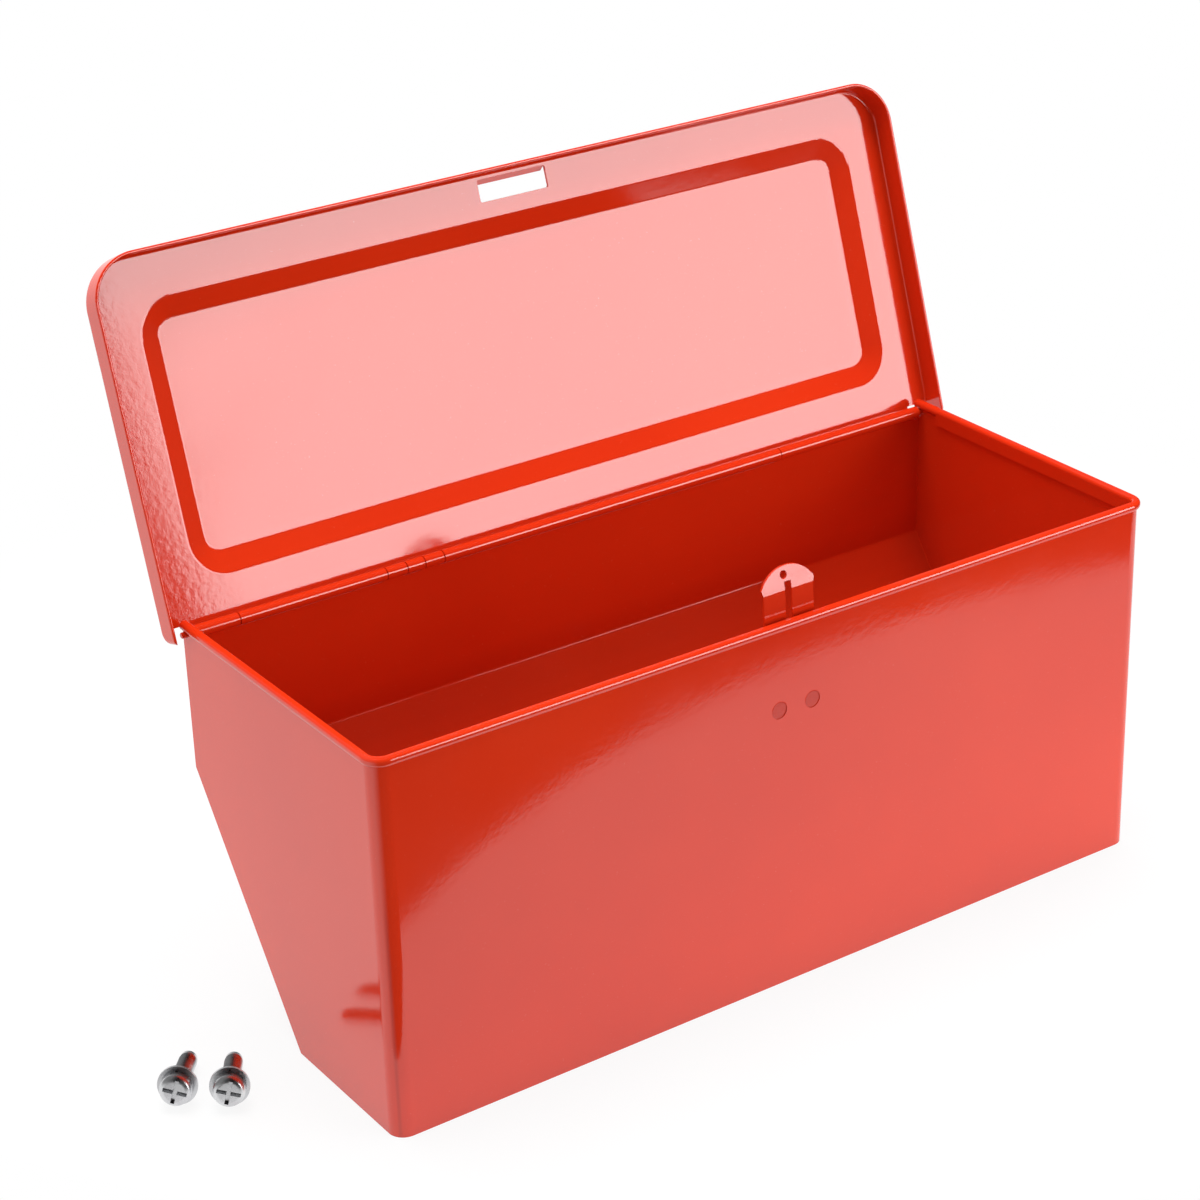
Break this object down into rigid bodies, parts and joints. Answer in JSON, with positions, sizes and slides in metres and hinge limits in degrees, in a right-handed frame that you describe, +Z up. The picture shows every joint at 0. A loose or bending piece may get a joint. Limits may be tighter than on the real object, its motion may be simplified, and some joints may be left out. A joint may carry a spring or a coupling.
{
  "type": "tractor tool box",
  "caption": "Sheet-steel tool box with a slanted back, a hinged pressed lid, a spring catch that passes through the lid, and loose mounting screws.",
  "frame": {"origin": "midway between the two mounting holes, on the underside of the bottom", "axes": "+X along the box to the viewer's right, -Y is the front with the catch, +Z is up"},
  "size_m": [0.3932, 0.1742, 0.2669],
  "materials": {
    "red_enamel": "gloss",
    "hinge_pin_steel": "gloss",
    "zinc_plate": "satin"
  },
  "bodies": {
    "box": {"front_and_side_panel": "red_enamel", "back_and_bottom_panel": "red_enamel", "hinge_pin": "hinge_pin_steel"},
    "lid": {"lid": "red_enamel"},
    "catch": {"catch_spring": "red_enamel"},
    "screw_left": {"mounting_screw_left": "zinc_plate", "spring_washer_left": "zinc_plate", "flat_washer_left": "zinc_plate"},
    "screw_right": {"mounting_screw_right": "zinc_plate", "spring_washer_right": "zinc_plate", "flat_washer_right": "zinc_plate"}
  },
  "joints": [
    {"name": "lid_hinge", "type": "hinge", "parent": "box", "child": "lid", "pos_m": [0, 0.09265, 0.1398], "axis": [1, 0, 0], "range_deg": [0, 107.5]},
    {"name": "catch_flex", "type": "hinge", "parent": "box", "child": "catch", "pos_m": [0, -0.0318, 0.12], "axis": [1, 0, 0], "range_deg": [0, 2.5], "stiffness_Nm_per_rad": 4},
    {"name": "screw_left_lift", "type": "slide", "parent": "box", "child": "screw_left", "axis": [0, 0, 1], "range_m": [0, 0.05]},
    {"name": "screw_right_lift", "type": "slide", "parent": "box", "child": "screw_right", "axis": [0, 0, 1], "range_m": [0, 0.05]}
  ]
}
